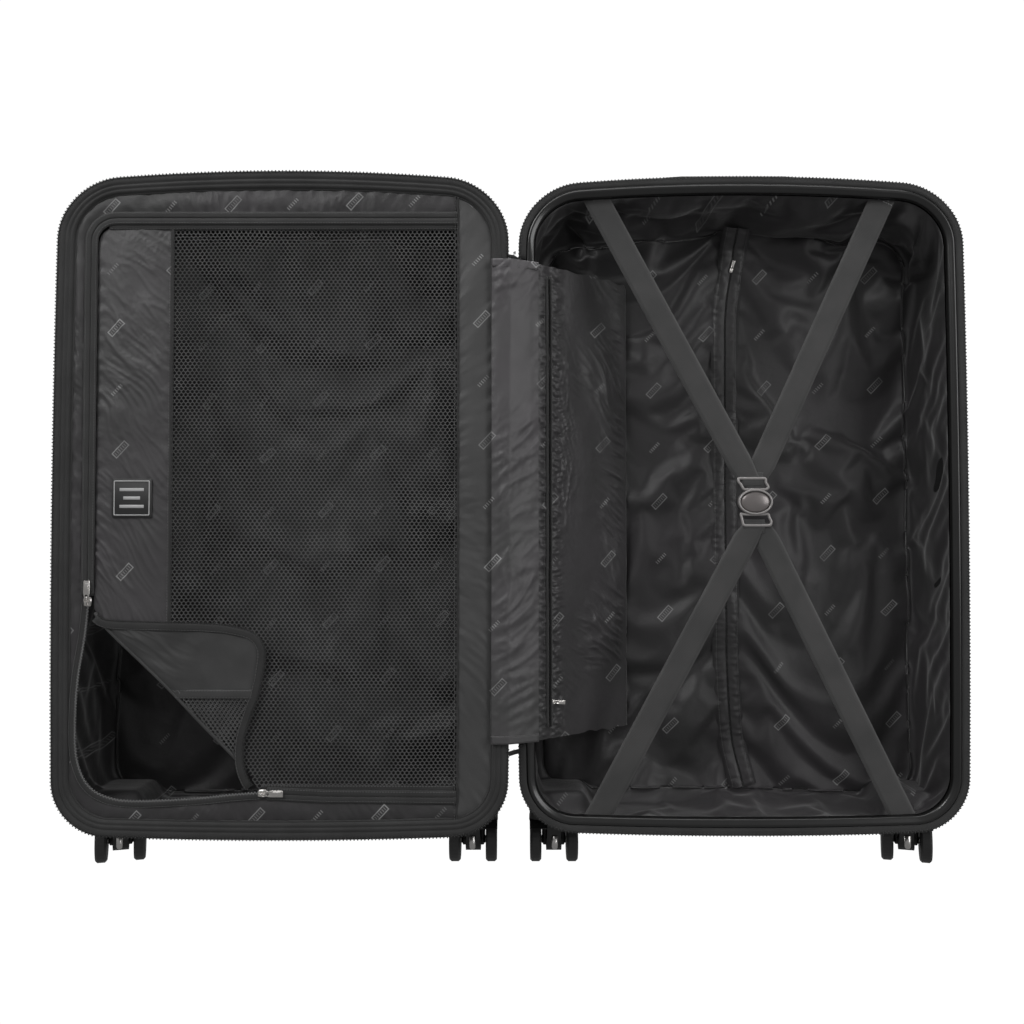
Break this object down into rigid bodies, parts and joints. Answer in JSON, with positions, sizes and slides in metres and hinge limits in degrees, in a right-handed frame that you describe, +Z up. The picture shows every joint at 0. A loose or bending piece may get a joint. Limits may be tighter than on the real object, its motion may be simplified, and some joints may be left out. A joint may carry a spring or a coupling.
{
  "type": "hard shell suitcase",
  "caption": "Hard shell suitcase on swivel casters, standing open like a book, with lined halves, a zipped net divider, crossed packing straps, a pull handle and a dial lock.",
  "frame": {"origin": "on the floor, at the middle of the open case's footprint", "axes": "+Z up; +X along the open case, towards the half with the pull handle; +Y from the open side towards the backs of the shells"},
  "size_m": [1.0053, 0.158, 0.7835],
  "materials": {
    "shell": "satin hard shell",
    "rim": "glossy moulded edge",
    "zip_tape": "woven zip tape",
    "lining": "satin lining",
    "webbing": "ribbed webbing",
    "buckle": "metallic grey",
    "moulded": "fine textured",
    "wheel": "semi-matt",
    "steel": "brushed",
    "aluminium": "satin anodised",
    "zip_metal": "plated"
  },
  "bodies": {
    "back_half": {"back_shell": "shell", "back_zip_tape": "zip_tape", "back_rim_frame": "rim", "back_lining": "lining", "caster_housing_back_inner": "moulded", "caster_housing_back_outer": "moulded", "trolley_cup": "moulded", "trolley_base_bracket": "moulded", "trolley_outer_tube_left": "aluminium", "trolley_outer_tube_right": "aluminium", "top_handle_base": "moulded", "side_handle_base": "moulded", "lock_body": "moulded", "strap_upper": "webbing", "strap_lower": "webbing", "buckle_frame": "buckle", "buckle_insert": "buckle", "hinge_pocket_panel": "lining"},
    "front_half": {"front_shell": "shell", "front_rim_band": "zip_tape", "front_lining": "lining", "caster_housing_front_inner": "moulded", "caster_housing_front_outer": "moulded", "hinge_flap_front": "lining", "divider_border": "lining", "divider_panel": "lining"},
    "trolley_middle": {"trolley_middle_tube_left": "aluminium", "trolley_middle_tube_right": "aluminium"},
    "trolley_inner": {"trolley_inner_tube_left": "aluminium", "trolley_inner_tube_right": "aluminium", "trolley_grip": "moulded"},
    "trolley_button": {"trolley_button": "buckle"},
    "top_handle": {"top_handle_grip": "moulded"},
    "side_handle": {"side_handle_grip": "moulded"},
    "lock_release": {"lock_release_button": "buckle"},
    "buckle_button": {"buckle_button": "buckle"},
    "main_slider_upper": {"main_zip_slider_upper": "zip_metal"},
    "main_slider_lower": {"main_zip_slider_lower": "zip_metal"},
    "pocket_slider": {"pocket_zip_slider": "zip_metal"},
    "divider_slider_side": {"divider_slider_side": "zip_metal"},
    "divider_slider_bottom": {"divider_slider_bottom": "zip_metal"},
    "caster_back_inner": {"caster_fork_back_inner": "moulded", "caster_axle_back_inner": "steel"},
    "wheel_back_inner_a": {"caster_wheel_back_inner_a": "wheel"},
    "wheel_back_inner_b": {"caster_wheel_back_inner_b": "wheel"},
    "caster_back_outer": {"caster_fork_back_outer": "moulded", "caster_axle_back_outer": "steel"},
    "wheel_back_outer_a": {"caster_wheel_back_outer_a": "wheel"},
    "wheel_back_outer_b": {"caster_wheel_back_outer_b": "wheel"},
    "caster_front_inner": {"caster_fork_front_inner": "moulded", "caster_axle_front_inner": "steel"},
    "wheel_front_inner_a": {"caster_wheel_front_inner_a": "wheel"},
    "wheel_front_inner_b": {"caster_wheel_front_inner_b": "wheel"},
    "caster_front_outer": {"caster_fork_front_outer": "moulded", "caster_axle_front_outer": "steel"},
    "wheel_front_outer_a": {"caster_wheel_front_outer_a": "wheel"},
    "wheel_front_outer_b": {"caster_wheel_front_outer_b": "wheel"},
    "lock_dial_1": {"lock_dial_1": "steel"},
    "lock_dial_2": {"lock_dial_2": "steel"},
    "lock_dial_3": {"lock_dial_3": "steel"}
  },
  "joints": [
    {"name": "lid_hinge", "type": "hinge", "parent": "back_half", "child": "front_half", "pos_m": [-0.00845, -0.071, 0.4107], "axis": [0, 0, 1], "range_deg": [0, 180]},
    {"name": "swivel_back_inner", "type": "hinge", "parent": "back_half", "child": "caster_back_inner", "pos_m": [0.03795, 0.017, 0.056], "axis": [0, 0, 1], "continuous": true},
    {"name": "spin_back_inner_a", "type": "hinge", "parent": "caster_back_inner", "child": "wheel_back_inner_a", "pos_m": [0.01705, 0.029, 0.025], "axis": [1, 0, 0], "continuous": true},
    {"name": "spin_back_inner_b", "type": "hinge", "parent": "caster_back_inner", "child": "wheel_back_inner_b", "pos_m": [0.05885, 0.029, 0.025], "axis": [1, 0, 0], "continuous": true},
    {"name": "swivel_back_outer", "type": "hinge", "parent": "back_half", "child": "caster_back_outer", "pos_m": [0.44255, 0.017, 0.056], "axis": [0, 0, 1], "continuous": true},
    {"name": "spin_back_outer_a", "type": "hinge", "parent": "caster_back_outer", "child": "wheel_back_outer_a", "pos_m": [0.42607, 0.03459, 0.025], "axis": [0.9563, -0.2924, 0], "continuous": true},
    {"name": "spin_back_outer_b", "type": "hinge", "parent": "caster_back_outer", "child": "wheel_back_outer_b", "pos_m": [0.46604, 0.02236, 0.025], "axis": [0.9563, -0.2924, 0], "continuous": true},
    {"name": "swivel_front_inner", "type": "hinge", "parent": "front_half", "child": "caster_front_inner", "pos_m": [-0.05485, 0.017, 0.056], "axis": [0, 0, 1], "continuous": true},
    {"name": "spin_front_inner_a", "type": "hinge", "parent": "caster_front_inner", "child": "wheel_front_inner_a", "pos_m": [-0.03395, 0.029, 0.025], "axis": [1, 0, 0], "continuous": true},
    {"name": "spin_front_inner_b", "type": "hinge", "parent": "caster_front_inner", "child": "wheel_front_inner_b", "pos_m": [-0.07575, 0.029, 0.025], "axis": [1, 0, 0], "continuous": true},
    {"name": "swivel_front_outer", "type": "hinge", "parent": "front_half", "child": "caster_front_outer", "pos_m": [-0.45945, 0.017, 0.056], "axis": [0, 0, 1], "continuous": true},
    {"name": "spin_front_outer_a", "type": "hinge", "parent": "caster_front_outer", "child": "wheel_front_outer_a", "pos_m": [-0.44297, 0.03459, 0.025], "axis": [0.9563, 0.2924, 0], "continuous": true},
    {"name": "spin_front_outer_b", "type": "hinge", "parent": "caster_front_outer", "child": "wheel_front_outer_b", "pos_m": [-0.48295, 0.02236, 0.025], "axis": [0.9563, 0.2924, 0], "continuous": true},
    {"name": "trolley_stage_1", "type": "slide", "parent": "back_half", "child": "trolley_middle", "axis": [0, 0, 1], "range_m": [0, 0.165]},
    {"name": "trolley_stage_2", "type": "slide", "parent": "trolley_middle", "child": "trolley_inner", "axis": [0, 0, 1], "range_m": [0, 0.165]},
    {"name": "trolley_button_press", "type": "slide", "parent": "trolley_inner", "child": "trolley_button", "axis": [0, 0, -1], "range_m": [0, 0.003], "stiffness_N_per_m": 300},
    {"name": "top_handle_lift", "type": "slide", "parent": "back_half", "child": "top_handle", "axis": [0, 0, 1], "range_m": [0, 0.009]},
    {"name": "side_handle_lift", "type": "slide", "parent": "back_half", "child": "side_handle", "axis": [1, 0, 0], "range_m": [0, 0.009]},
    {"name": "lock_dial_1_turn", "type": "hinge", "parent": "back_half", "child": "lock_dial_1", "pos_m": [0.48055, -0.035, 0.55], "axis": [0, 0, 1], "continuous": true},
    {"name": "lock_dial_2_turn", "type": "hinge", "parent": "back_half", "child": "lock_dial_2", "pos_m": [0.48055, -0.035, 0.5595], "axis": [0, 0, 1], "continuous": true},
    {"name": "lock_dial_3_turn", "type": "hinge", "parent": "back_half", "child": "lock_dial_3", "pos_m": [0.48055, -0.035, 0.569], "axis": [0, 0, 1], "continuous": true},
    {"name": "lock_release_slide", "type": "slide", "parent": "back_half", "child": "lock_release", "axis": [0, 0, 1], "range_m": [0, 0.005], "stiffness_N_per_m": 120},
    {"name": "buckle_button_press", "type": "slide", "parent": "back_half", "child": "buckle_button", "axis": [0, 1, 0], "range_m": [0, 0.003], "stiffness_N_per_m": 300},
    {"name": "main_slider_upper_slide", "type": "slide", "parent": "back_half", "child": "main_slider_upper", "axis": [0, 0, 1], "range_m": [0, 0.014]},
    {"name": "main_slider_lower_slide", "type": "slide", "parent": "back_half", "child": "main_slider_lower", "axis": [0, 0, -1], "range_m": [0, 0.014]},
    {"name": "pocket_slider_slide", "type": "slide", "parent": "back_half", "child": "pocket_slider", "axis": [0, 0, 1], "range_m": [0, 0.42]},
    {"name": "divider_slider_side_slide", "type": "slide", "parent": "front_half", "child": "divider_slider_side", "axis": [0, 0, 1], "range_m": [0, 0.34]},
    {"name": "divider_slider_bottom_slide", "type": "slide", "parent": "front_half", "child": "divider_slider_bottom", "axis": [1, 0, 0], "range_m": [0, 0.14]}
  ]
}
